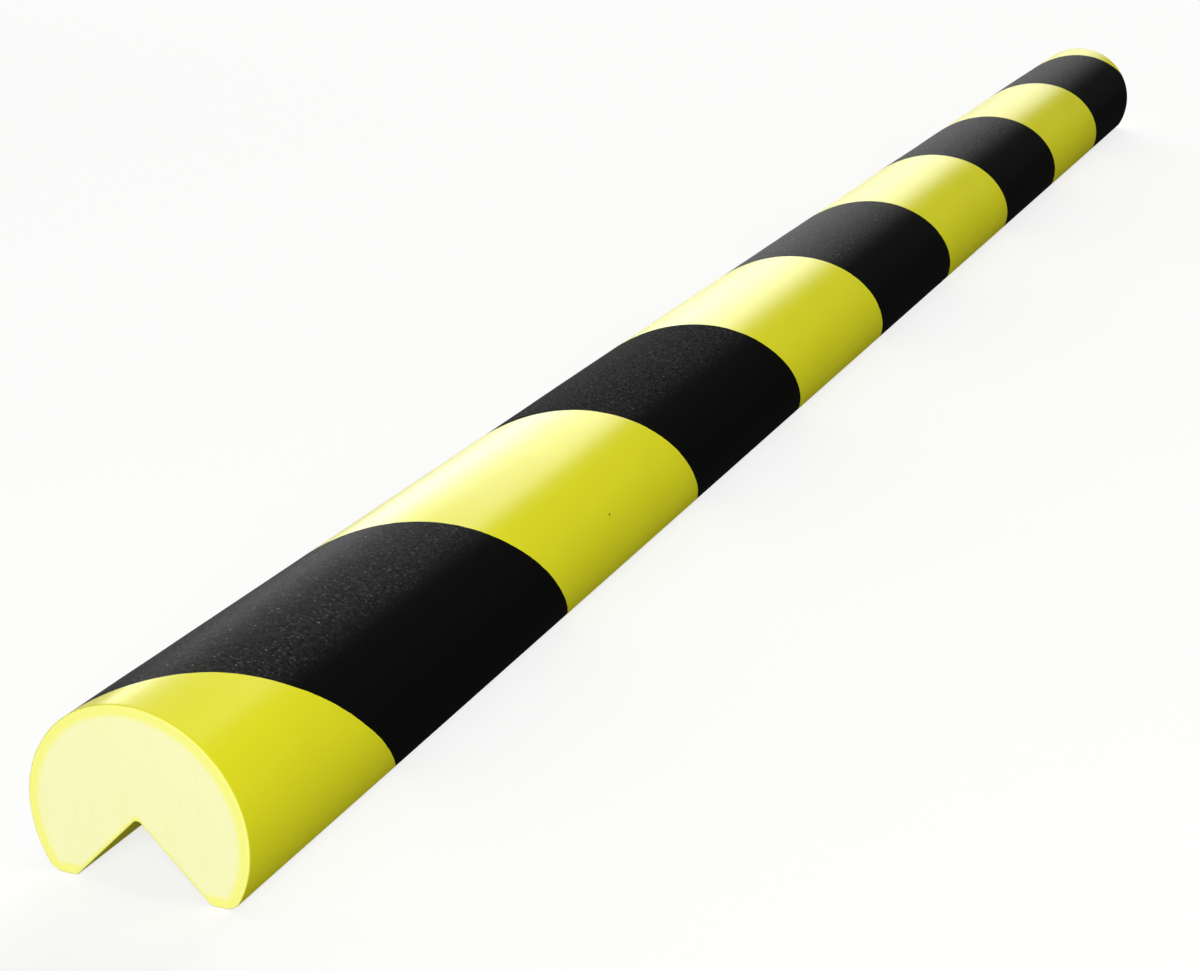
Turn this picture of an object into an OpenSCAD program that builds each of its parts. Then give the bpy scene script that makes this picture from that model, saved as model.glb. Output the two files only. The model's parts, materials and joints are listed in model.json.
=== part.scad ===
// Foam corner guard: one moulded bar of soft foam, round at the back, with a V notch
// along its whole length that seats on the corner or edge it protects.
// The bar lies along X and stands on its two feet at Z = 0, crown up.
// Origin: middle of the length, between the feet. Sizes are in millimetres.

/* [Profile] */
// Diameter of the round back
profile_d = 60; // [56:1:90]
// Height from the feet to the crown
profile_h = 47; // [32:1:50]
// Depth of the notch above the feet
notch_depth = 18.5; // [8:0.5:22]
// Full angle between the two notch faces
notch_angle = 90; // [60:1:100]

/* [Length] */
// Cut length of the bar
guard_len = 1000; // [200:10:2000]

/* [Stripes] */
// Length of one band along the bar
band_len = 106; // [50:1:250]
// Angle of a stripe's edge from square across, measured on the unrolled skin
stripe_angle = 42; // [0:1:60]
// Distance from the end to the first stripe's edge, along the crown
first_edge = 18; // [5:1:100]
// Depth that the black print goes into the skin
print_t = 0.5; // [0.3:0.1:1.5]

/* [Skin] */
// Thickness of the dense yellow skin round the back and under the feet, a rim on the cut ends
skin_t = 2.8; // [2:0.1:6]
// Thickness of the thinner yellow skin on the two notch faces
notch_skin_t = 0.8; // [0.5:0.1:2]

/* [Colours] */
// Moulded yellow skin
yellow_skin = "#D8D628";
// Pale foam inside the skin, open to view on the two cut ends
pale_foam = "#F4F3B4";
// Printed black
black_print = "#1C1D1B";

/* [Hidden] */
$fn = 180;
profile_r = profile_d / 2;
axis_h = profile_h - profile_r;
mouth_half = notch_depth * tan(notch_angle / 2);
near_end = -guard_len / 2;
// A stripe's edge is a helix on the round back. Each sector of the back takes it as one
// flat oblique cut that meets the helix at both edges of the sector. The middle sector is
// at the crown, and two more on each side reach past the feet.
sector = 60;
sectors = [-2 * sector : sector : 2 * sector];
stripe_slope = tan(stripe_angle);
cut_slope = stripe_slope * (sector / 2) * PI / 180 / sin(sector / 2);
cut_reach = cut_slope * profile_r;
// How far along the bar the helix moves from the crown to a given angle round the back
function helix_x(angle) = stripe_slope * profile_r * angle * PI / 180;
// Start of black band number k where it crosses the middle of a sector
function band_start(k, angle) = near_end + first_edge + 2 * k * band_len + helix_x(angle);
// Black bands of a sector that reach the bar, counted from the near end
function first_band(angle) = ceil((-first_edge - band_len - helix_x(angle) - cut_reach) / (2 * band_len));
function last_band(angle) = floor((guard_len - first_edge - helix_x(angle) + cut_reach) / (2 * band_len));
function around(angle, r) = [-r * sin(angle), axis_h + r * cos(angle)];

// Circle of the round back, or one inside it by a given depth
module back_circle(depth = 0) {
    translate([0, axis_h]) circle(profile_r - depth);
}

// Everything higher than a given height above the feet
module above(height = 0) {
    translate([-profile_d, height]) square([2 * profile_d, 2 * profile_d]);
}

// The notch: a triangle with its apex inside the bar and its mouth below the feet. A margin
// moves both of its faces out into the foam.
module notch(margin = 0) {
    translate([0, margin / sin(notch_angle / 2)])
        polygon([[-2 * mouth_half, -notch_depth], [0, notch_depth], [2 * mouth_half, -notch_depth]]);
}

// Outline of the whole bar: a circle cut flat at the feet and opened by the notch
module profile() {
    difference() {
        intersection() {
            back_circle();
            above();
        }
        notch();
    }
}

// The pale inside: what lies deeper than the skin
module inside() {
    difference() {
        intersection() {
            back_circle(skin_t);
            above(skin_t);
        }
        notch(notch_skin_t);
    }
}

// The skin: the part of the outline near the round back, the feet and the notch faces
module skin() {
    difference() {
        profile();
        inside();
    }
}

// The layer of the round back that takes the print
module print_layer() {
    difference() {
        profile();
        back_circle(print_t);
    }
}

// Draws a flat outline along the whole bar
module along_bar() {
    rotate([90, 0, 90]) linear_extrude(guard_len, center = true) children();
}

// Pie slice of one sector, from the axis to beyond the round back
module sector_slice(angle) {
    polygon([[0, axis_h], around(angle - sector / 2, profile_d), around(angle + sector / 2, profile_d)]);
}

// One black band's slab across a sector, with its two oblique edges
module band_slab(k, angle) {
    start = band_start(k, angle);
    end = start + band_len;
    translate([0, 0, axis_h]) rotate([angle, 0, 0]) linear_extrude(profile_d)
        polygon([[start - cut_reach, profile_r], [start + cut_reach, -profile_r],
                 [end + cut_reach, -profile_r], [end - cut_reach, profile_r]]);
}

// All the black print, sector by sector
module black_bands() {
    for (angle = sectors) intersection() {
        along_bar() intersection() {
            print_layer();
            sector_slice(angle);
        }
        for (k = [first_band(angle) : last_band(angle)]) band_slab(k, angle);
    }
}

// One bar of foam: pale inside, with a yellow skin and black bands printed into the skin
module foam_guard() {
    color(pale_foam) along_bar() inside();
    color(yellow_skin) difference() {
        along_bar() skin();
        black_bands();
    }
    color(black_print) black_bands();
}

foam_guard();
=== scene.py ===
# %% [markdown]
# # A foam corner guard
#
# The object is a one metre bar of soft polyurethane foam that is fixed over a sharp corner,
# so that people and goods bump into foam and not into an edge. It was moulded in one piece:
# a round back, two flat feet and a V notch along its whole length. The mould left a dense
# yellow skin on the foam, black bands were printed on that skin, and a knife cut the bar to
# length, which shows the pale foam inside.
#
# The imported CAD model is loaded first. It is the fixed frame: every size and place below is
# read from it or set against it, in metres.

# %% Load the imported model
import json
import math

import bmesh
import bpy
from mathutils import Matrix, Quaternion, Vector, noise


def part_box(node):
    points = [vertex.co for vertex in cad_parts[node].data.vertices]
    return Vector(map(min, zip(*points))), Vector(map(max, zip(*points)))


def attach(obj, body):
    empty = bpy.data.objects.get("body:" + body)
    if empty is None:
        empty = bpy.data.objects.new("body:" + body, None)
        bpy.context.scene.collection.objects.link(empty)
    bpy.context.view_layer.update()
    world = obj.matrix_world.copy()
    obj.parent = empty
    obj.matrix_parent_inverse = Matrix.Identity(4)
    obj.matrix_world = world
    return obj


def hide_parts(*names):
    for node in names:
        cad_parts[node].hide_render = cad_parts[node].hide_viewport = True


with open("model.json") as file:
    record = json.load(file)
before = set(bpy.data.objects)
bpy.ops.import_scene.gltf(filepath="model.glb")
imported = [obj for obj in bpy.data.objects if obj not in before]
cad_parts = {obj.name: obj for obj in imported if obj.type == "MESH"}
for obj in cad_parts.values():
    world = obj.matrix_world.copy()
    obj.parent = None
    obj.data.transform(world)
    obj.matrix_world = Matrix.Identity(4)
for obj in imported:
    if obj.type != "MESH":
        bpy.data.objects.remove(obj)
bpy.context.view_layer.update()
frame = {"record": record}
low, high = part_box("foam_guard")
print("CAD box, low and high corner in metres:", low, high)

# %% [markdown]
# ## Sizes of the profile
#
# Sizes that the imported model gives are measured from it, and never typed a second time. The
# round back is a circle as wide as the bar. Each mount in the record sits at the middle of
# its notch face, so twice its height is the depth of the notch, and twice its distance from
# the middle is half of the notch's mouth. The back ends where its circle meets the floor.

# %% Sizes of the profile
MM = 0.001
back_radius = (high.y - low.y) / 2
axis_height = high.z - back_radius
bar_length = high.x - low.x
notch_mount = next(m for m in frame["record"]["mounts"] if m["name"] == "notch_face_plus_y")
notch_depth = 2 * notch_mount["pos_m"][2]
mouth_half = 2 * notch_mount["pos_m"][1]
foot_turn = math.acos(-axis_height / back_radius)
print("radius", back_radius, "axis height", axis_height, "notch depth", notch_depth)
print("the round back ends", round(math.degrees(foot_turn), 1), "degrees from the crown")

# %% [markdown]
# ## The outline
#
# The bar has the same outline from end to end, so it starts as one flat outline that is then
# drawn out along its length. The round back could be a circle with pieces cut away, but a
# Boolean leaves uneven faces behind. Here one point is spun about the axis, from the foot on
# one side over the crown to the foot on the other side, which gives evenly spaced points.
# It stops a little before each foot, to leave room for the round of the foot's corner. The
# two feet and the notch need only five points more.

# %% Draw the outline on the near end
ARC_STEPS = 128
FOOT_ROOM = 2.6 * MM


def on_skin(turn, x):
    """The point of the round back at an angle from the crown and a place along the bar."""
    return Vector((x, -back_radius * math.sin(turn), axis_height + back_radius * math.cos(turn)))


body = bmesh.new()
arc_turn = foot_turn - FOOT_ROOM / back_radius
first = body.verts.new(on_skin(arc_turn, low.x))
arc = bmesh.ops.spin(body, geom=[first], cent=(low.x, 0, axis_height), axis=(1, 0, 0), dvec=(0, 0, 0),
                     angle=-2 * arc_turn, steps=ARC_STEPS, use_merge=False, use_duplicate=False)
last = next(v for v in arc["geom_last"] if isinstance(v, bmesh.types.BMVert))
foot_half = back_radius * math.sin(foot_turn)
corner_points = [(foot_half, 0), (mouth_half, 0), (0, notch_depth), (-mouth_half, 0), (-foot_half, 0)]
corners = [body.verts.new((low.x, y, z)) for y, z in corner_points]
chain = [last] + corners + [first]
for start, end in zip(chain, chain[1:]):
    body.edges.new((start, end))
outline = bmesh.ops.contextual_create(body, geom=body.edges[:])["faces"][0]
print("the outline has", len(outline.verts), "points")

# %% [markdown]
# ## Moulded corners
#
# Foam can't fill a knife-sharp corner of a mould, so every long edge of the real bar is
# round: most at the outside of the feet, a little at the bottom of the notch, and least at
# the thin tips beside it. A Bevel modifier would round all edges by one size. The bevel
# operator takes one corner at a time, so each corner gets its own radius. The distance from
# a corner to where its round starts follows from the radius and the angle between the sides.

# %% Round the corners of the outline
CORNER_SEGMENTS = 5
FOOT_ROUND = 4 * MM
TIP_ROUND = 1 * MM
APEX_ROUND = 1.6 * MM


def round_corner(vert, radius):
    """Rounds one corner of the flat outline to a radius."""
    sides = [(e.other_vert(vert).co - vert.co).normalized() for e in vert.link_edges]
    inside = sides[0].angle(sides[1])
    offset = radius / math.tan(inside / 2)
    bmesh.ops.bevel(body, geom=[vert], offset=offset, offset_type="OFFSET", segments=CORNER_SEGMENTS,
                    profile=0.5, affect="VERTICES", clamp_overlap=True, material=-1)
    print("rounded a corner of", round(math.degrees(inside)), "degrees, offset mm", round(offset / MM, 2))


corner_rounds = [FOOT_ROUND, TIP_ROUND, APEX_ROUND, TIP_ROUND, FOOT_ROUND]
for corner, radius in zip(corners, corner_rounds):
    round_corner(corner, radius)

# %% [markdown]
# ## The length, and the two cut ends
#
# The outline is extruded along X to the full length of the bar. The knife left the rim of
# each cut end almost sharp, with the skin just turned over, so both end loops are bevelled
# by less than half a millimetre.

# %% Extrude the bar and round its cut ends
CUT_ROUND = 0.4 * MM
CUT_SEGMENTS = 3
END_TEST = 1e-6

extruded = bmesh.ops.extrude_face_region(body, geom=body.faces[:])
far_verts = [g for g in extruded["geom"] if isinstance(g, bmesh.types.BMVert)]
bmesh.ops.translate(body, vec=(bar_length, 0, 0), verts=far_verts)
bmesh.ops.recalc_face_normals(body, faces=body.faces[:])


def on_end(item):
    """Whether every point of an edge or face lies on one of the two cut ends."""
    xs = [v.co.x for v in item.verts]
    return max(xs) - min(xs) < END_TEST


bmesh.ops.bevel(body, geom=[e for e in body.edges if on_end(e)], offset=CUT_ROUND, offset_type="OFFSET",
                segments=CUT_SEGMENTS, profile=0.5, affect="EDGES", clamp_overlap=True, material=-1)
print("faces after the cut ends are rounded:", len(body.faces))

# %% [markdown]
# ## Where the bands run
#
# Black ink was printed on the yellow skin in bands that wind round the back. Unroll the back
# and every edge of a band is a straight line at one angle, so on the bar it is a helix: its
# place moves along the bar by the same amount for each degree of turn round the axis.
#
# The edge of a real print isn't a perfect line. It drifts by a few tenths of a millimetre,
# and it is slightly ragged where the ink bled into the grain of the skin. Both come from
# smooth noise, which gives the same edge each time the script runs.

# %% Where the edges of the bands run
BAND_LENGTH = 106 * MM
STRIPE_ANGLE = math.radians(42)
FIRST_EDGE = 18 * MM
DRIFT = 0.35 * MM
DRIFT_SIZE = 14 * MM
RAGGED = 0.16 * MM
RAGGED_SIZE = 2.2 * MM
helix_per_radian = math.tan(STRIPE_ANGLE) * back_radius
reach = helix_per_radian * math.pi
edge_numbers = range(math.floor(-(FIRST_EDGE + reach) / BAND_LENGTH),
                     math.ceil((bar_length - FIRST_EDGE + reach) / BAND_LENGTH) + 1)


def turn_of(point):
    """Angle of a point round the axis, from the crown towards -Y."""
    return math.atan2(-point.y, point.z - axis_height)


def edge_place(number, turn):
    """Where an edge of a band crosses the long line at one angle from the crown."""
    spot = Vector((turn * back_radius, number * BAND_LENGTH, 0))
    drift = DRIFT * noise.noise(spot / DRIFT_SIZE)
    ragged = RAGGED * noise.noise(spot / RAGGED_SIZE)
    return low.x + FIRST_EDGE + number * BAND_LENGTH + helix_per_radian * turn + drift + ragged


print("an edge moves", round(helix_per_radian / MM, 1), "mm along the bar in each radian of turn")

# %% [markdown]
# ## Cutting the bands into the mesh
#
# The bands could be drawn by the shader, but ink and skin are two materials with their own
# shine, and a mask between them turns soft when it is baked. So each edge is cut into the
# mesh, strip by strip, with a bisecting plane through the two points where the helix crosses
# the long lines on either side of the strip. The print covers the round back and runs a
# little way round the corner of each foot. It leaves out the cut ends and their rims, whose
# faces look along the bar.

# %% Cut the edges into the strips of the round back
CUT_SNAP = 0.08 * MM
BACK_TEST = 0.94
PRINT_END = math.cos(math.radians(150))
LOOKS_ALONG = 0.1


def radius_of(point):
    """Distance of a point from the axis of the round back."""
    return math.hypot(point.y, point.z - axis_height)


def takes_print(face):
    """Whether a face belongs to the round back, or to the part of the foot's round next to it."""
    outside = radius_of(face.calc_center_median()) > BACK_TEST * back_radius
    return outside and face.normal.z > PRINT_END and abs(face.normal.x) < LOOKS_ALONG


strips = [face for face in body.faces if takes_print(face)]
for strip in strips:
    turns = [turn_of(v.co) for v in strip.verts]
    sides = min(turns), max(turns)
    outward = on_skin(sum(sides) / 2, 0) - Vector((0, 0, axis_height))
    rest = [strip] + list(strip.edges)
    for number in edge_numbers:
        ends = [on_skin(turn, edge_place(number, turn)) for turn in sides]
        cut = bmesh.ops.bisect_plane(body, geom=rest, dist=CUT_SNAP, plane_co=ends[0],
                                     plane_no=(ends[1] - ends[0]).cross(outward).normalized())
        rest = [g for g in cut["geom"] if not isinstance(g, bmesh.types.BMVert)]
print("cut", len(strips), "strips of the round back; the bar has", len(body.faces), "faces")

# %% [markdown]
# ## Rings along the bar
#
# The faces still run from band to band. The next step moves the surface a little, so it
# needs points in between. Planes square to the bar cut it into short rings, and each cut
# works only on what is left beyond the one before, which keeps it quick. One ring close to
# each end keeps the round of the rim from shading the skin beside it.

# %% Cut the bar into rings
RING_SPACING = 3 * MM
RIM_RING = 1 * MM


def reaches_past(item, place):
    """Whether an edge or a face goes further along the bar than a place."""
    return max(v.co.x for v in item.verts) > place + CUT_SNAP


rings = round(bar_length / RING_SPACING)
places = [low.x + number * bar_length / rings for number in range(1, rings)]
places = [low.x + RIM_RING] + places + [high.x - RIM_RING]
rest = body.edges[:] + body.faces[:]
for place in places:
    cut = bmesh.ops.bisect_plane(body, geom=rest, dist=CUT_SNAP, plane_co=(place, 0, 0), plane_no=(1, 0, 0))
    rest = [g for g in cut["geom"] if not isinstance(g, bmesh.types.BMVert) and reaches_past(g, place)]
print("cut at", len(places), "places; the bar has", len(body.faces), "faces")

# %% [markdown]
# ## One solid, three finishes
#
# The bar is one piece of foam, so it stays one mesh, and each face is marked with the finish
# that it wears. The two cut ends show foam that a knife opened, the bands carry ink, and
# everything else is skin that the mould made. Whether a face is printed follows from how
# many edges of bands lie before it.

# %% Mark each face with its finish
SKIN_SLOT, PRINT_SLOT, CUT_SLOT = range(3)
RIM_TEST = 1.05


def is_printed(face):
    """Whether a face of the round back lies inside a black band."""
    middle = face.calc_center_median()
    turn = turn_of(middle)
    passed = sum(edge_place(number, turn) < middle.x for number in edge_numbers)
    return (edge_numbers[0] + passed - 1) % 2 == 0


def by_the_cut(face):
    """Whether a face lies on a cut end or on the round of its rim."""
    xs = [v.co.x for v in face.verts]
    return max(xs) < low.x + RIM_TEST * CUT_ROUND or min(xs) > high.x - RIM_TEST * CUT_ROUND


for face in body.faces:
    face.material_index = SKIN_SLOT
    if by_the_cut(face):
        face.material_index = CUT_SLOT
    elif takes_print(face) and is_printed(face):
        face.material_index = PRINT_SLOT
print("printed faces:", sum(face.material_index == PRINT_SLOT for face in body.faces))

# %% [markdown]
# ## A skin that isn't quite true
#
# Moulded foam shrinks unevenly as it cures. A straight edge held against such a bar shows
# slight hollows and swells, and a highlight along the bar wanders because of them. Here they
# go up to a quarter of a millimetre. That is a guess, because they are too small to measure
# in the photo. A Displace modifier could do this, but a short loop keeps control of where it
# acts: the points of the round back move in or out along their radius, and the feet and the
# notch stay flat, because they seat on something.

# %% Move the round back by up to a quarter of a millimetre
SWELL = 0.22 * MM
SWELL_LENGTH = 70 * MM
RIPPLE = 0.05 * MM
RIPPLE_LENGTH = 16 * MM
FADE_HEIGHT = 8 * MM
SWELL_TEST = 0.998

moved = 0
for vert in body.verts:
    out = Vector((0, vert.co.y, vert.co.z - axis_height))
    if out.length < SWELL_TEST * back_radius:
        continue
    fade = min(1, max(0, vert.co.z / FADE_HEIGHT))
    height = SWELL * noise.noise(vert.co / SWELL_LENGTH) + RIPPLE * noise.noise(vert.co / RIPPLE_LENGTH)
    vert.co += out.normalized() * height * fade
    moved += 1
print("moved", moved, "of", len(body.verts), "points")

# %% [markdown]
# ## The finished bar
#
# The long faces are shaded smooth and the cut ends flat. The ends are single faces with many
# corners, which render unevenly, so they are split into triangles here.

# %% Make the object
for face in body.faces:
    face.smooth = not on_end(face)
bmesh.ops.triangulate(body, faces=[f for f in body.faces if on_end(f)], quad_method="BEAUTY",
                      ngon_method="BEAUTY")
print("closed:", all(e.is_manifold for e in body.edges), "volume cm3:", round(body.calc_volume() * 1e6, 1))
print("triangles:", sum(len(f.verts) - 2 for f in body.faces))

mesh = bpy.data.meshes.new("foam_bar")
body.to_mesh(mesh)
body.free()
guard = bpy.data.objects.new("foam_bar", mesh)
bpy.context.scene.collection.objects.link(guard)

# %% [markdown]
# ## Building materials
#
# Colours are picked as sRGB hex values, the way a paint or screen colour is written, and
# Blender's shaders work in linear light, so one function turns them over. A second small
# function adds a node, sets it and links it, which keeps each material readable as a list of
# steps from place to pattern to surface. It takes a socket by its name, or by its number on
# a node that has several of one name. A Mix node is such a node: its two colours go into
# sockets 6 and 7, and the mixed one comes out of socket 2.

# %% Helpers for materials
def linear(hex_colour):
    """An sRGB hex colour as linear red, green, blue and alpha."""
    channels = [int(hex_colour[i:i + 2], 16) / 255 for i in (1, 3, 5)]
    return [c / 12.92 if c <= 0.04045 else ((c + 0.055) / 1.055) ** 2.4 for c in channels] + [1]


def add_node(tree, kind, inputs=None, **settings):
    """Adds a node, sets its options, and links or sets its inputs."""
    node = tree.nodes.new(kind)
    for name, value in settings.items():
        setattr(node, name, value)
    for socket, value in (inputs or {}).items():
        if isinstance(value, bpy.types.NodeSocket):
            tree.links.new(value, node.inputs[socket])
        else:
            node.inputs[socket].default_value = value
    return node


def new_material(name):
    """An empty node material and its tree."""
    material = bpy.data.materials.new(name)
    material.use_nodes = True
    material.node_tree.nodes.clear()
    return material, material.node_tree


print("a middle grey in linear light:", [round(c, 3) for c in linear("#808080")])

# %% [markdown]
# ## The colour of the moulded skin
#
# Where the rising foam meets the cool wall of the mould its bubbles collapse into a dense
# skin. It is strong yellow with a touch of green, and drifts between two close shades over
# a hand's width, as a pigment that was stirred in does. One dark speck, a grain of pigment
# or soot, sits in the second yellow band. A distance to one point, turned into a small soft
# spot, is enough to draw it.

# %% The colour of the moulded skin
YELLOW = "#F0ED26"
YELLOW_SHADE = "#E5E120"
MOTTLE_SIZE = 45 * MM
MOTTLE_DETAIL = 4.0
SPECK = "#6E6A14"
SPECK_ALONG = 206 * MM
SPECK_TURN = math.radians(74.8)
SPECK_CORE = 0.25 * MM
SPECK_EDGE = 0.65 * MM

skin, tree = new_material("moulded_polyurethane_skin")
place = add_node(tree, "ShaderNodeTexCoord").outputs["Object"]
mottle = add_node(tree, "ShaderNodeTexNoise", {"Vector": place, "Scale": 1 / MOTTLE_SIZE,
                  "Detail": MOTTLE_DETAIL})
colour = add_node(tree, "ShaderNodeMix", {"Factor": mottle.outputs["Fac"], 6: linear(YELLOW),
                  7: linear(YELLOW_SHADE)}, data_type="RGBA").outputs[2]
from_speck = add_node(tree, "ShaderNodeVectorMath", {0: place, 1: on_skin(SPECK_TURN, low.x + SPECK_ALONG)},
                      operation="DISTANCE").outputs["Value"]
speck = add_node(tree, "ShaderNodeMapRange", {"Value": from_speck, "From Min": SPECK_EDGE,
                 "From Max": SPECK_CORE}, interpolation_type="SMOOTHSTEP").outputs["Result"]
colour = add_node(tree, "ShaderNodeMix", {"Factor": speck, 6: colour, 7: linear(SPECK)},
                  data_type="RGBA").outputs[2]
print("the speck lies", SPECK_ALONG / MM, "mm from the near end")

# %% [markdown]
# ## The shine of the moulded skin
#
# The crown of the bar, which hands and wrapping rub, has a satin shine, and the flanks are
# dull and show no reflection of the floor. So the roughness follows the height. A fine grain
# breaks the shine up, so the highlight ends in a soft and slightly grainy line. The grain of
# such a skin is typically about 0.3 mm, drawn here at 0.9 mm so that it doesn't flicker at
# this distance. A little detail breaks up the even waves of the noise.
#
# The specular level is the same all over, so it is set on the shader itself. It is far below
# the 0.5 of solid plastic: foam skin is full of tiny pores that swallow most of a reflection,
# and the value was matched to the flank in the photo, which mirrors next to nothing.

# %% The shine of the moulded skin
CROWN_ROUGHNESS = 0.33
FLANK_ROUGHNESS = 0.95
DULL_HEIGHT = 22 * MM
SHINY_HEIGHT = 38 * MM
SKIN_GRAIN = 0.9 * MM
FINE_DETAIL = 2.0
GRAIN_STRENGTH = 0.12
GRAIN_HEIGHT = 0.1 * MM
SKIN_LEVEL = 0.085
PLASTIC_IOR = 1.5

height = add_node(tree, "ShaderNodeSeparateXYZ", {0: place}).outputs["Z"]
roughness = add_node(tree, "ShaderNodeMapRange", {"Value": height, "From Min": DULL_HEIGHT,
                     "From Max": SHINY_HEIGHT, "To Min": FLANK_ROUGHNESS,
                     "To Max": CROWN_ROUGHNESS}).outputs["Result"]
grain = add_node(tree, "ShaderNodeTexNoise", {"Vector": place, "Scale": 1 / SKIN_GRAIN,
                 "Detail": FINE_DETAIL})
bump = add_node(tree, "ShaderNodeBump", {"Height": grain.outputs["Fac"], "Strength": GRAIN_STRENGTH,
                "Distance": GRAIN_HEIGHT})
skin_shader = add_node(tree, "ShaderNodeBsdfPrincipled", {"Base Color": colour, "Roughness": roughness,
                       "Normal": bump.outputs["Normal"], "IOR": PLASTIC_IOR,
                       "Specular IOR Level": SKIN_LEVEL})
add_node(tree, "ShaderNodeOutputMaterial", {"Surface": skin_shader.outputs[0]})
mesh.materials.append(skin)
print("made", skin.name, "with", len(tree.nodes), "nodes")

# %% [markdown]
# ## The colour of the printed bands
#
# The black is an elastic ink that bends with the foam, a deep black that is never quite
# even. A thin, mottled grey veil lies on the upper side. It is partly dust and partly a
# painted sheen that stands in for the highlight on the crown. Dust settles only on what
# faces up, and the highlight lies on the crown, so a mask follows the height and fades the
# veil out down the flanks. The film of ink is thin and takes the fine grain of the skin
# under it. Both are noise, and both are drawn coarser than they are so that they show: the
# grain at 0.6 mm, the veil at about 1 mm.

# %% The colour of the printed bands
INK = "#0A0A09"
INK_LIGHT = "#101110"
INK_GRAIN = 0.6 * MM
# The grey of the veil is partly dust and partly a painted sheen of the crown's highlight.
SHEEN_AND_DUST_VEIL = "#313130"
VEIL_SIZE = 1.1 * MM
VEIL_DETAIL = 3.0
VEIL_FROM = 0.35
VEIL_TO = 0.8
# Between these heights the dust and the painted sheen fade in towards the crown.
DUST_AND_SHEEN_LOW = 38 * MM
DUST_AND_SHEEN_HIGH = 44.5 * MM

ink, tree = new_material("printed_matt_elastic_ink")
place = add_node(tree, "ShaderNodeTexCoord").outputs["Object"]
height = add_node(tree, "ShaderNodeSeparateXYZ", {0: place}).outputs["Z"]
# Mask of dust and painted sheen: it rises with the height, towards the crown's highlight.
dust_and_sheen_zone = add_node(tree, "ShaderNodeMapRange", {"Value": height, "From Min": DUST_AND_SHEEN_LOW, "From Max": DUST_AND_SHEEN_HIGH},
                 interpolation_type="SMOOTHSTEP").outputs["Result"]
grain = add_node(tree, "ShaderNodeTexNoise", {"Vector": place, "Scale": 1 / INK_GRAIN,
                 "Detail": FINE_DETAIL}).outputs["Fac"]
colour = add_node(tree, "ShaderNodeMix", {"Factor": grain, 6: linear(INK), 7: linear(INK_LIGHT)},
                  data_type="RGBA").outputs[2]
# The veil: a mottled grey, partly dust and partly painted sheen.
sheen_and_dust_veil = add_node(tree, "ShaderNodeTexNoise", {"Vector": place, "Scale": 1 / VEIL_SIZE,
                "Detail": VEIL_DETAIL}).outputs["Fac"]
sheen_and_dust_veil = add_node(tree, "ShaderNodeMapRange", {"Value": sheen_and_dust_veil, "From Min": VEIL_FROM, "From Max": VEIL_TO,
                "To Max": dust_and_sheen_zone}).outputs["Result"]
colour = add_node(tree, "ShaderNodeMix", {"Factor": sheen_and_dust_veil, 6: colour, 7: linear(SHEEN_AND_DUST_VEIL)},
                  data_type="RGBA").outputs[2]
# The dust and the painted sheen show only above this height.
print("the dust lies more than", DUST_AND_SHEEN_LOW / MM, "mm above the floor")

# %% [markdown]
# ## Grains of dust and lint, and painted glints
#
# Single grains stand out from the veil: many grey ones, and here and there a paler one.
# The grey ones are partly dust, the pale ones partly lint, and both are partly painted
# glints, the sparkle of the highlight on the crown. They come from a pattern of random
# cells. Each cell holds one dot, and its own random shade, raised to a power, decides how
# well the dot shows, so a higher power leaves fewer of them. Real dust is finer than 0.2 mm,
# drawn here at about 1 mm so that it shows at this distance.

# %% Grains of dust and lint, and painted glints, on the printed bands
# Grey dots: partly dust and partly painted glints of the highlight.
DUST_AND_GLINT = "#52524F"
DUST_AND_GLINT_SPACING = 0.95 * MM
DUST_AND_GLINT_EDGE = 0.55
DUST_AND_GLINT_RARITY = 2.0
# Pale dots: partly lint and partly painted glints of the highlight.
LINT_AND_GLINT = "#868680"
LINT_AND_GLINT_SPACING = 1.6 * MM
LINT_AND_GLINT_EDGE = 0.25
LINT_AND_GLINT_RARITY = 6.0
GRAIN_CORE = 0.05


def grains(spacing, edge, rarity):
    """A mask of round grains on the upper side, partly dust and partly painted glints, one in each cell,
    that show more or less.
    """
    cells = add_node(tree, "ShaderNodeTexVoronoi", {"Vector": place, "Scale": 1 / spacing})
    dots = add_node(tree, "ShaderNodeMapRange", {"Value": cells.outputs["Distance"], "From Min": edge,
                    "From Max": GRAIN_CORE, "To Max": dust_and_sheen_zone}, interpolation_type="SMOOTHSTEP")
    shade = add_node(tree, "ShaderNodeSeparateColor", {"Color": cells.outputs["Color"]}).outputs["Red"]
    shade = add_node(tree, "ShaderNodeMath", {0: shade, 1: rarity}, operation="POWER").outputs[0]
    return add_node(tree, "ShaderNodeMath", {0: dots.outputs["Result"], 1: shade},
                    operation="MULTIPLY").outputs[0]


# Grey dots of dust and painted glints.
dust_and_glints = grains(DUST_AND_GLINT_SPACING, DUST_AND_GLINT_EDGE, DUST_AND_GLINT_RARITY)
colour = add_node(tree, "ShaderNodeMix", {"Factor": dust_and_glints, 6: colour, 7: linear(DUST_AND_GLINT)},
                  data_type="RGBA").outputs[2]
# Pale dots of lint and painted glints.
lint_and_glints = grains(LINT_AND_GLINT_SPACING, LINT_AND_GLINT_EDGE, LINT_AND_GLINT_RARITY)
colour = add_node(tree, "ShaderNodeMix", {"Factor": lint_and_glints, 6: colour, 7: linear(LINT_AND_GLINT)},
                  data_type="RGBA").outputs[2]
print("a dot of lint is", round(2 * LINT_AND_GLINT_EDGE * LINT_AND_GLINT_SPACING / MM, 2), "mm wide")

# %% [markdown]
# ## The shine of the printed bands
#
# The ink is more matt than the skin, and as on the skin only its crown shines a little. The
# second black band from the near end shines less than the others on the real bar, as if it
# was printed drier, so the roughness of the crown also follows the distance from that band.

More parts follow.
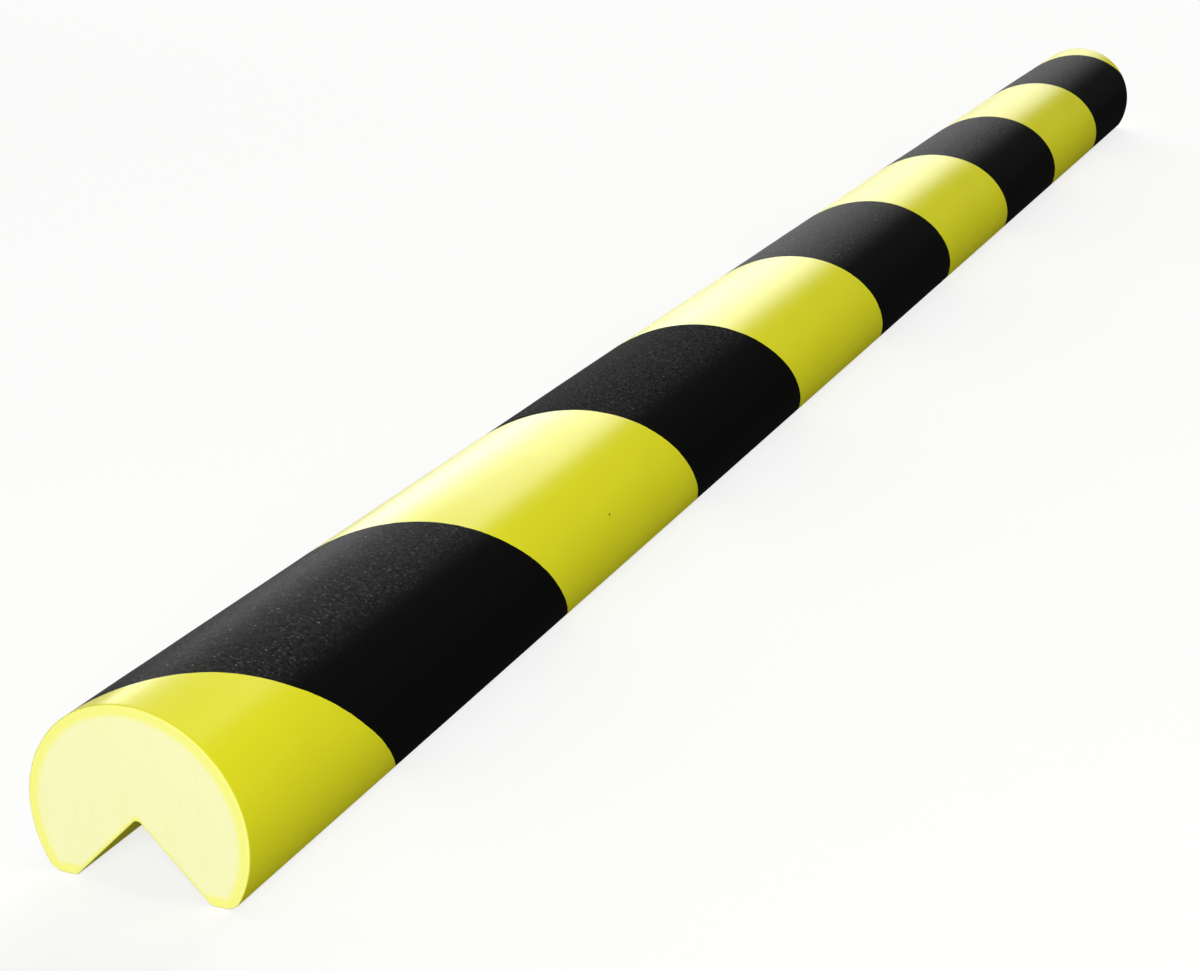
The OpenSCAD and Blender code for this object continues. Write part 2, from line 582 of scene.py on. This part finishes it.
# %% The shine of the printed bands
INK_ROUGHNESS = 0.44
DRY_INK_ROUGHNESS = 0.7
INK_LEVEL = 0.006
DRY_BAND = 283 * MM
DRY_BAND_HALF = 90 * MM
DRY_BAND_SOFTNESS = 30 * MM
INK_GRAIN_STRENGTH = 0.6
INK_GRAIN_HEIGHT = 0.14 * MM

along = add_node(tree, "ShaderNodeSeparateXYZ", {0: place}).outputs["X"]
from_dry = add_node(tree, "ShaderNodeMath", {0: along, 1: low.x + DRY_BAND}, operation="SUBTRACT").outputs[0]
from_dry = add_node(tree, "ShaderNodeMath", {0: from_dry}, operation="ABSOLUTE").outputs[0]
crown_roughness = add_node(tree, "ShaderNodeMapRange", {"Value": from_dry, "From Min": DRY_BAND_HALF,
                           "From Max": DRY_BAND_HALF + DRY_BAND_SOFTNESS, "To Min": DRY_INK_ROUGHNESS,
                           "To Max": INK_ROUGHNESS}, interpolation_type="SMOOTHSTEP").outputs["Result"]
roughness = add_node(tree, "ShaderNodeMapRange", {"Value": height, "From Min": DULL_HEIGHT,
                     "From Max": SHINY_HEIGHT, "To Min": FLANK_ROUGHNESS,
                     "To Max": crown_roughness}).outputs["Result"]
bump = add_node(tree, "ShaderNodeBump", {"Height": grain, "Strength": INK_GRAIN_STRENGTH,
                "Distance": INK_GRAIN_HEIGHT})
ink_shader = add_node(tree, "ShaderNodeBsdfPrincipled", {"Base Color": colour, "Roughness": roughness,
                      "Normal": bump.outputs["Normal"], "IOR": PLASTIC_IOR, "Specular IOR Level": INK_LEVEL})
add_node(tree, "ShaderNodeOutputMaterial", {"Surface": ink_shader.outputs[0]})
mesh.materials.append(ink)
print("made", ink.name, "with", len(tree.nodes), "nodes")

# %% [markdown]
# ## The cut foam
#
# Inside the skin the foam is open and pale, and the knife leaves a dull, even face. The
# dense skin shows there as a yellow rim round the back and under the feet, and as a much
# thinner line along the notch. The rim has no sharp inner edge, because the bubbles grow
# bit by bit from the skin inwards.
#
# The shader works out how deep each point lies: from the round back by its distance from
# the axis, from the feet by its height, and from the notch by its distance to the slope.
# Each depth is divided by the thickness of the skin there, and the smallest one decides.

# %% How deep a point of the cut lies under the skin
SKIN_DEPTH = 2.8 * MM
NOTCH_SKIN_DEPTH = 0.8 * MM
notch_half_angle = math.atan2(mouth_half, notch_depth)

foam, tree = new_material("knife_cut_polyurethane_foam")
place = add_node(tree, "ShaderNodeTexCoord").outputs["Object"]
xyz = add_node(tree, "ShaderNodeSeparateXYZ", {0: place})
rise = add_node(tree, "ShaderNodeMath", {0: xyz.outputs["Z"], 1: axis_height},
                operation="SUBTRACT").outputs[0]
across = add_node(tree, "ShaderNodeCombineXYZ", {"X": 0.0, "Y": xyz.outputs["Y"], "Z": rise}).outputs[0]
radius = add_node(tree, "ShaderNodeVectorMath", {0: across}, operation="LENGTH").outputs["Value"]
from_back = add_node(tree, "ShaderNodeMath", {0: back_radius, 1: radius}, operation="SUBTRACT").outputs[0]
from_outside = add_node(tree, "ShaderNodeMath", {0: from_back, 1: xyz.outputs["Z"]},
                        operation="MINIMUM").outputs[0]
skin_share = add_node(tree, "ShaderNodeMath", {0: from_outside, 1: SKIN_DEPTH},
                      operation="DIVIDE").outputs[0]
side = add_node(tree, "ShaderNodeMath", {0: xyz.outputs["Y"]}, operation="ABSOLUTE").outputs[0]
climb = add_node(tree, "ShaderNodeMath", {0: xyz.outputs["Z"], 1: math.sin(notch_half_angle),
                 2: -notch_depth * math.sin(notch_half_angle)}, operation="MULTIPLY_ADD").outputs[0]
from_notch = add_node(tree, "ShaderNodeMath", {0: side, 1: math.cos(notch_half_angle), 2: climb},
                      operation="MULTIPLY_ADD").outputs[0]
notch_share = add_node(tree, "ShaderNodeMath", {0: from_notch, 1: NOTCH_SKIN_DEPTH},
                       operation="DIVIDE").outputs[0]
share = add_node(tree, "ShaderNodeMath", {0: skin_share, 1: notch_share}, operation="MINIMUM").outputs[0]
print("half of the notch's angle:", round(math.degrees(notch_half_angle), 1), "degrees")

# %% [markdown]
# ## The pale core
#
# The knife left its own mark on the pale core: a few faint lines straight down, where its
# edge dragged. They are noise that is stretched a long way in one direction. The bubbles of
# such a foam are typically about 0.3 mm, drawn here at 0.7 mm so that they show, just enough
# to take the plastic smoothness off the face.

# %% The pale core and its knife lines
CORE = "#FBFBC2"
CORE_CELL = "#F6F5B8"
FOAM_CELL = 0.7 * MM
STREAK = "#F8F7B4"
STREAK_WIDTH = 2.6 * MM
STREAK_LENGTH = 28 * MM
STREAK_FROM = 0.5
STREAK_TO = 0.8

cell = add_node(tree, "ShaderNodeTexNoise", {"Vector": place, "Scale": 1 / FOAM_CELL,
                "Detail": FINE_DETAIL}).outputs["Fac"]
colour = add_node(tree, "ShaderNodeMix", {"Factor": cell, 6: linear(CORE), 7: linear(CORE_CELL)},
                  data_type="RGBA").outputs[2]
stretch = (0, 1 / STREAK_WIDTH, 1 / STREAK_LENGTH)
stretched = add_node(tree, "ShaderNodeMapping", {"Vector": place, "Scale": stretch},
                     vector_type="POINT").outputs["Vector"]
streaks = add_node(tree, "ShaderNodeTexNoise", {"Vector": stretched, "Scale": 1.0,
                   "Detail": FINE_DETAIL}).outputs["Fac"]
streaks = add_node(tree, "ShaderNodeMapRange", {"Value": streaks, "From Min": STREAK_FROM,
                   "From Max": STREAK_TO}, interpolation_type="SMOOTHSTEP").outputs["Result"]
colour = add_node(tree, "ShaderNodeMix", {"Factor": streaks, 6: colour, 7: linear(STREAK)},
                  data_type="RGBA").outputs[2]
print("a knife line is about", STREAK_WIDTH / MM, "mm wide")

# %% [markdown]
# ## The rim of the cut
#
# From the core outwards two more colours follow: the yellow of the dense rim, and a slightly
# stronger yellow on the turned-over edge of the skin. The open bubbles scatter the light, so
# the face is rough all over and has no highlight.

# %% The rim and the dull surface of the cut
RIM = "#F8F886"
RIM_EDGE = "#F3F163"
RIM_SOFTNESS = 0.32
EDGE_DEPTH = 0.4 * MM
CELL_STRENGTH = 0.5
CELL_HEIGHT = 0.1 * MM
FOAM_ROUGHNESS = 0.85

rim = add_node(tree, "ShaderNodeMapRange", {"Value": share, "From Min": 1 + RIM_SOFTNESS,
               "From Max": 1 - RIM_SOFTNESS}, interpolation_type="SMOOTHSTEP").outputs["Result"]
edge = add_node(tree, "ShaderNodeMapRange", {"Value": from_outside, "From Min": EDGE_DEPTH, "From Max": 0.0},
                interpolation_type="SMOOTHSTEP").outputs["Result"]
colour = add_node(tree, "ShaderNodeMix", {"Factor": rim, 6: colour, 7: linear(RIM)},
                  data_type="RGBA").outputs[2]
colour = add_node(tree, "ShaderNodeMix", {"Factor": edge, 6: colour, 7: linear(RIM_EDGE)},
                  data_type="RGBA").outputs[2]
bump = add_node(tree, "ShaderNodeBump", {"Height": cell, "Strength": CELL_STRENGTH, "Distance": CELL_HEIGHT})
foam_shader = add_node(tree, "ShaderNodeBsdfPrincipled", {"Base Color": colour, "Roughness": FOAM_ROUGHNESS,
                       "Normal": bump.outputs["Normal"], "IOR": PLASTIC_IOR})
add_node(tree, "ShaderNodeOutputMaterial", {"Surface": foam_shader.outputs[0]})
mesh.materials.append(foam)
print("made", foam.name, "with", len(tree.nodes), "nodes")

# %% [markdown]
# ## The bar in the frame
#
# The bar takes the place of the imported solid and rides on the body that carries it. Soft
# foam fills it from skin to skin.

# %% Place the bar in the frame
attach(guard, "root")
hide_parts("foam_guard")
print("placed", guard.name)

# %% [markdown]
# ## The floor
#
# The bar stands on a wide sheet of pale paper. A sheet that is white all through would throw
# a strong light back up on the flank, so the paper is a middle grey, and a little light of
# its own lifts it to near white for the camera and for the mirror rays, but not for the
# light that it throws on the bar. It still darkens where the bar stands on it.

# %% Floor
FLOOR_SIZE = 30
FLOOR_GREY = "#959593"
FLOOR_LIFT = 0.73

floor_body = bmesh.new()
bmesh.ops.create_grid(floor_body, x_segments=1, y_segments=1, size=FLOOR_SIZE / 2)
floor_mesh = bpy.data.meshes.new("studio_floor")
floor_body.to_mesh(floor_mesh)
floor_body.free()
floor = bpy.data.objects.new("studio_floor", floor_mesh)
bpy.context.scene.collection.objects.link(floor)

paper, tree = new_material("pale_studio_paper")
ray = add_node(tree, "ShaderNodeLightPath")
seen = add_node(tree, "ShaderNodeMath", {0: ray.outputs["Is Camera Ray"], 1: ray.outputs["Is Glossy Ray"]},
                operation="MAXIMUM").outputs[0]
seen = add_node(tree, "ShaderNodeMath", {0: seen, 1: ray.outputs["Is Transmission Ray"]},
                operation="MAXIMUM").outputs[0]
lift = add_node(tree, "ShaderNodeMath", {0: seen, 1: FLOOR_LIFT}, operation="MULTIPLY").outputs[0]
glow = add_node(tree, "ShaderNodeEmission", {"Color": linear("#FFFFFF"), "Strength": lift})
floor_shader = add_node(tree, "ShaderNodeBsdfDiffuse", {"Color": linear(FLOOR_GREY)})
both = add_node(tree, "ShaderNodeAddShader", {0: floor_shader.outputs[0], 1: glow.outputs[0]})
add_node(tree, "ShaderNodeOutputMaterial", {"Surface": both.outputs[0]})
floor_mesh.materials.append(paper)
print("floor of", FLOOR_SIZE, "metres")

# %% [markdown]
# ## The light
#
# Three plain soft boxes face the middle of the bar. The key light stands in front and to
# the side of the near end: it lights the cut face fully and the flank a little less. A long
# narrow strip light stands high behind the far end, rolled to one side, and the crown
# mirrors it as the long pale highlight. Its roll decides how far round the crown that
# highlight reaches at each place along the bar. A wide, faint sheet below it carries the
# highlight out to the outline. A faint even light from all round keeps the shadows open.
# None of them is stronger than it has to be, so that the sides that the camera doesn't see
# stay plain too.

# %% Light
WORLD_LIGHT = 0.1

world = bpy.data.worlds.new("studio")
bpy.context.scene.world = world
world.use_nodes = True
world.node_tree.nodes.clear()
sky = add_node(world.node_tree, "ShaderNodeBackground", {"Color": linear("#FFFFFF"),
               "Strength": WORLD_LIGHT})
add_node(world.node_tree, "ShaderNodeOutputWorld", {"Surface": sky.outputs[0]})


def soft_box(name, place, width, height, watts, roll=0):
    """A flat soft box that faces the middle of the bar and can't be seen itself."""
    lamp = bpy.data.lights.new(name, "AREA")
    lamp.shape = "RECTANGLE"
    lamp.size = width
    lamp.size_y = height
    lamp.energy = watts
    box = bpy.data.objects.new(name, lamp)
    box.location = place
    facing = (-Vector(place)).to_track_quat("-Z", "Y")
    box.rotation_euler = (facing @ Quaternion((0, 0, 1), math.radians(roll))).to_euler()
    box.visible_camera = False
    bpy.context.scene.collection.objects.link(box)
    print(name, "is", round(Vector(place).length, 2), "metres away")


soft_box("key_light", place=(-3.1, -1.42, 1.45), width=1.4, height=1.4, watts=119)
soft_box("strip_light", place=(6.28, 1.98, 3.06), width=8.9, height=1.1, watts=510, roll=-26.5)
soft_box("sheet_light", place=(5.99, 2.3, 1.54), width=6.1, height=1.6, watts=101, roll=-20.5)

# %% [markdown]
# ## The camera
#
# The camera stands low beside the near end and looks along the bar, so the cut face is large
# and the far end is small. Its place, aim, lens and roll were solved together from the
# outline of the bar and the edges of the bands in the photo.

# %% Camera
LENS = 66.85
SENSOR = 36
CAMERA_PLACE = Vector((-0.8715, -0.2814, 0.2617))
CAMERA_AIM = Vector((-0.2425, -0.0032, 0.0134))
CAMERA_ROLL = math.radians(-0.84)

camera_data = bpy.data.cameras.new("camera")
camera_data.lens = LENS
camera_data.sensor_width = SENSOR
camera = bpy.data.objects.new("camera", camera_data)
camera.location = CAMERA_PLACE
look = (CAMERA_AIM - CAMERA_PLACE).to_track_quat("-Z", "Y")
camera.rotation_euler = (look @ Quaternion((0, 0, 1), CAMERA_ROLL)).to_euler()
bpy.context.scene.collection.objects.link(camera)
bpy.context.scene.camera = camera
bpy.context.scene.view_settings.view_transform = "Standard"
print("camera", round((CAMERA_AIM - CAMERA_PLACE).length, 3), "metres from its aim")
